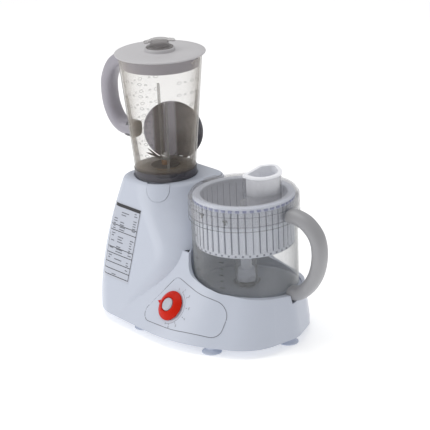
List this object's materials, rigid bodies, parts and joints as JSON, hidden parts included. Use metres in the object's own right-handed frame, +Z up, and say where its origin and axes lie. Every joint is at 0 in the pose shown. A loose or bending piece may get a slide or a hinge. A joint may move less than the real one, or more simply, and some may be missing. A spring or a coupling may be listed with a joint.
{
  "type": "baby food maker",
  "caption": "Two-station baby food maker: blender jug on a motor tower, and a lidded bowl with a juicing basket and feed tube on a sloped base with a turn knob.",
  "frame": {"origin": "centre of the bounding box's bottom face, on the surface that the feet stand on", "axes": "+Z up, front with the control knob facing -Y, blender tower on the -X side and processing bowl on the +X side"},
  "size_m": [0.4892, 0.2644, 0.462],
  "materials": {
    "white_body": "glossy white with a cool tint",
    "white_base": "satin pale blue white",
    "soft_foot": "soft translucent pale grey",
    "steel": "bright steel",
    "grey_plate": "mid grey satin",
    "label_print": "printed label, satin",
    "red_knob": "glossy red orange",
    "white_part": "glossy white",
    "black_plastic": "matte black",
    "rubber_black": "matte black rubber",
    "lamination": "stacked steel sheet",
    "copper": "enamelled copper",
    "bracket_zinc": "cast zinc",
    "bronze": "sintered bronze",
    "board_green": "circuit board",
    "smoke_cover": "smoke tinted, clear, glossy",
    "clear_bowl": "clear, glossy",
    "clear_lid": "smoke tinted, clear, glossy",
    "clear_stem": "clear, glossy",
    "clear_jug": "clear with a warm tint, glossy",
    "grey_handle": "satin mid grey",
    "lilac_handle": "satin grey lilac",
    "light_grey_lid": "soft satin light grey"
  },
  "bodies": {
    "base": {"upper_housing": "white_body", "base_plate": "white_base", "suction_feet": "soft_foot", "base_screws": "steel", "well_liner": "grey_plate", "speed_label": "label_print", "control_panel": "white_body", "rotary_switch": "black_plastic", "motor_stator": "lamination", "field_coils": "copper", "brush_holders": "black_plastic", "motor_upper_bracket": "bracket_zinc", "motor_lower_bracket": "bracket_zinc", "motor_bearings": "steel", "motor_bolts": "steel", "motor_mounts": "rubber_black", "spindle_bearing_tube": "black_plastic", "spindle_bushes": "bronze", "drive_belt": "rubber_black", "control_board": "board_green", "interlock_switches": "black_plastic", "cord_gland": "black_plastic", "cover_hinge_pin": "steel"},
    "rotor": {"motor_shaft": "steel", "armature_core": "lamination", "armature_windings": "copper", "commutator": "copper", "cooling_fan": "black_plastic", "motor_pulley": "black_plastic", "drive_dog": "rubber_black"},
    "spindle": {"spindle_pulley": "black_plastic", "drive_spindle": "steel"},
    "knob": {"speed_knob": "red_knob", "knob_cap": "white_part", "switch_shaft": "black_plastic"},
    "button": {"release_button": "white_body"},
    "cover": {"drive_cover": "smoke_cover"},
    "bowl": {"processor_bowl": "clear_bowl", "bowl_handle": "grey_handle"},
    "bowl_lid": {"bowl_lid": "clear_lid"},
    "pusher": {"food_pusher": "white_part"},
    "basket": {"juicer_basket": "white_part", "basket_ring": "white_part", "drive_stem": "white_part", "stem_cap": "clear_stem", "grater_disc": "steel"},
    "jug": {"blender_jug": "clear_jug", "jug_collar": "smoke_cover", "blade_bush": "bronze", "jug_seal": "rubber_black", "jug_handle": "lilac_handle", "handle_clip": "smoke_cover"},
    "blades": {"blender_blades": "steel", "blade_spindle": "steel", "blade_nut": "steel", "blade_coupling": "black_plastic"},
    "jug_lid": {"blender_lid": "light_grey_lid", "lid_skirt": "lilac_handle"},
    "cap": {"filler_cap": "smoke_cover"}
  },
  "joints": [
    {"name": "motor_spin", "type": "hinge", "parent": "base", "child": "rotor", "pos_m": [-0.11296, 0.02273, 0.1], "axis": [0, 0, 1], "continuous": true},
    {"name": "spindle_spin", "type": "hinge", "parent": "base", "child": "spindle", "pos_m": [0.08854, 0.02273, 0.08], "axis": [0, 0, 1], "continuous": true},
    {"name": "bowl_lift", "type": "slide", "parent": "base", "child": "bowl", "axis": [0, 0, 1], "range_m": [0, 0.15]},
    {"name": "basket_spin", "type": "hinge", "parent": "bowl", "child": "basket", "pos_m": [0.08854, 0.02273, 0.18], "axis": [0, 0, 1], "continuous": true},
    {"name": "bowl_lid_lift", "type": "slide", "parent": "bowl", "child": "bowl_lid", "axis": [0, 0, 1], "range_m": [0, 0.12]},
    {"name": "pusher_slide", "type": "slide", "parent": "bowl_lid", "child": "pusher", "axis": [0, 0, 1], "range_m": [0, 0.09]},
    {"name": "jug_lift", "type": "slide", "parent": "base", "child": "jug", "axis": [0, 0, 1], "range_m": [0, 0.15]},
    {"name": "blade_spin", "type": "hinge", "parent": "jug", "child": "blades", "pos_m": [-0.11296, 0.02273, 0.24], "axis": [0, 0, 1], "continuous": true},
    {"name": "jug_lid_lift", "type": "slide", "parent": "jug", "child": "jug_lid", "axis": [0, 0, 1], "range_m": [0, 0.1]},
    {"name": "cap_lift", "type": "slide", "parent": "jug_lid", "child": "cap", "axis": [0, 0, 1], "range_m": [0, 0.05]},
    {"name": "knob_turn", "type": "hinge", "parent": "base", "child": "knob", "pos_m": [0.03754, -0.10079, 0.05889], "axis": [0, -0.8161, 0.5779], "range_deg": [-262, 20]},
    {"name": "button_press", "type": "slide", "parent": "base", "child": "button", "axis": [-0.6088, 0.7934, 0], "range_m": [0, 0.003], "stiffness_N_per_m": 300},
    {"name": "cover_hinge", "type": "hinge", "parent": "base", "child": "cover", "pos_m": [-0.15466, 0.07707, 0.231], "axis": [-0.7934, -0.6088, 0], "range_deg": [0, 12]}
  ],
  "couplings": [
    {"joint": "blade_spin", "follows": "motor_spin", "ratio": 1},
    {"joint": "spindle_spin", "follows": "motor_spin", "ratio": 0.25},
    {"joint": "basket_spin", "follows": "motor_spin", "ratio": 0.25}
  ]
}
